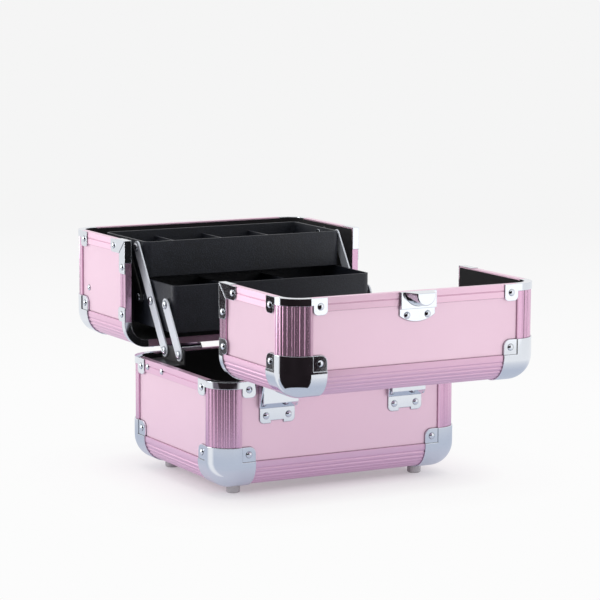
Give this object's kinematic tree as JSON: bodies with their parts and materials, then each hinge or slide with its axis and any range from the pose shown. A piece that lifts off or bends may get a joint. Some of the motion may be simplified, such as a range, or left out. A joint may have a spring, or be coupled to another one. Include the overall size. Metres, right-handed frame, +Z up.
{
  "type": "makeup case",
  "caption": "Hard makeup case with fluted edge profiles and chromed corners; its two lid halves open outwards and the back one carries cantilever trays.",
  "frame": {"origin": "on the surface that the feet stand on, under the middle of the base", "axes": "+Z up, +Y towards the back lid with the trays, +X to the right seen from the front lid"},
  "size_m": [0.2448, 0.455, 0.2022],
  "materials": {
    "pink_panel": "satin pink laminate",
    "pink_profile": "anodised, fluted",
    "chrome": "polished",
    "lining": "short black felt",
    "tray_plastic": "fine grain",
    "arm_steel": "brushed",
    "black_steel": "satin black",
    "foot_grey": "matt",
    "grip_plastic": "satin"
  },
  "bodies": {
    "base": {"base_front_panel": "pink_panel", "base_back_panel": "pink_panel", "base_left_panel": "pink_panel", "base_right_panel": "pink_panel", "base_bottom_panel": "pink_panel", "base_lining": "lining", "base_posts": "pink_profile", "base_bottom_edges": "pink_profile", "base_rims": "pink_profile", "base_ball_corners": "chrome", "base_rim_caps": "chrome", "base_rivets": "chrome", "feet": "foot_grey", "front_hinge_leaves": "chrome", "back_hinge_leaves": "chrome", "hinge_pins": "chrome", "tray_brackets": "black_steel"},
    "front_lid": {"front_top_panel": "pink_panel", "front_wall_panel": "pink_panel", "front_left_panel": "pink_panel", "front_right_panel": "pink_panel", "front_lining": "lining", "front_edges": "pink_profile", "front_base_rim": "pink_profile", "front_seam_rim": "pink_profile", "front_ball_corners": "chrome", "front_rim_caps": "chrome", "front_corner_brackets": "chrome", "front_rivets": "chrome", "front_lid_leaves": "chrome", "latch_keeper": "chrome"},
    "back_lid": {"back_top_panel": "pink_panel", "back_wall_panel": "pink_panel", "back_left_panel": "pink_panel", "back_right_panel": "pink_panel", "back_lining": "lining", "back_edges": "pink_profile", "back_base_rim": "pink_profile", "back_seam_rim": "pink_profile", "back_ball_corners": "chrome", "back_rim_caps": "chrome", "back_corner_brackets": "chrome", "back_rivets": "chrome", "back_lid_leaves": "chrome", "latch_plate": "chrome", "latch_pin": "chrome", "handle_brackets": "chrome"},
    "latch_lever": {"latch_lever": "chrome"},
    "handle": {"handle_arms": "chrome", "handle_grip": "grip_plastic"},
    "long_arms": {"long_arms": "arm_steel"},
    "lower_links": {"lower_links": "arm_steel"},
    "upper_links": {"upper_links": "black_steel"},
    "lower_tray": {"lower_tray": "tray_plastic", "lower_tray_pivots": "chrome"},
    "upper_tray": {"upper_tray": "tray_plastic", "upper_tray_pivots": "chrome"}
  },
  "joints": [
    {"name": "front_lid_hinge", "type": "hinge", "parent": "base", "child": "front_lid", "pos_m": [0, -0.0938, 0.1015], "axis": [-1, 0, 0], "range_deg": [0, 90]},
    {"name": "back_lid_hinge", "type": "hinge", "parent": "base", "child": "back_lid", "pos_m": [0, 0.0938, 0.1015], "axis": [1, 0, 0], "range_deg": [0, 90]},
    {"name": "long_arm_pivot", "type": "hinge", "parent": "base", "child": "long_arms", "pos_m": [0, 0.048, 0.1084], "axis": [1, 0, 0], "range_deg": [0, 63.7]},
    {"name": "lower_link_pivot", "type": "hinge", "parent": "base", "child": "lower_links", "pos_m": [0, 0.019, 0.1084], "axis": [1, 0, 0], "range_deg": [0, 63.7]},
    {"name": "lower_tray_pivot", "type": "hinge", "parent": "long_arms", "child": "lower_tray", "pos_m": [0, 0.07547, 0.14958], "axis": [1, 0, 0], "range_deg": [-63.7, 0]},
    {"name": "upper_tray_pivot", "type": "hinge", "parent": "long_arms", "child": "upper_tray", "pos_m": [0, 0.10541, 0.19448], "axis": [1, 0, 0], "range_deg": [-63.7, 0]},
    {"name": "upper_link_pivot", "type": "hinge", "parent": "lower_tray", "child": "upper_links", "pos_m": [0, 0.10046, 0.14958], "axis": [1, 0, 0], "range_deg": [0, 63.7]},
    {"name": "latch_lever_hinge", "type": "hinge", "parent": "back_lid", "child": "latch_lever", "pos_m": [0, 0.2198, 0.1933], "axis": [1, 0, 0], "range_deg": [0, 180]},
    {"name": "handle_pivot", "type": "hinge", "parent": "back_lid", "child": "handle", "pos_m": [0, 0.2203, 0.1783], "axis": [1, 0, 0], "range_deg": [0, 90]}
  ],
  "couplings": [
    {"joint": "long_arm_pivot", "follows": "back_lid_hinge", "ratio": 0.70778},
    {"joint": "lower_link_pivot", "follows": "back_lid_hinge", "ratio": 0.70778},
    {"joint": "lower_tray_pivot", "follows": "back_lid_hinge", "ratio": -0.70778},
    {"joint": "upper_tray_pivot", "follows": "back_lid_hinge", "ratio": -0.70778},
    {"joint": "upper_link_pivot", "follows": "back_lid_hinge", "ratio": 0.70778}
  ]
}
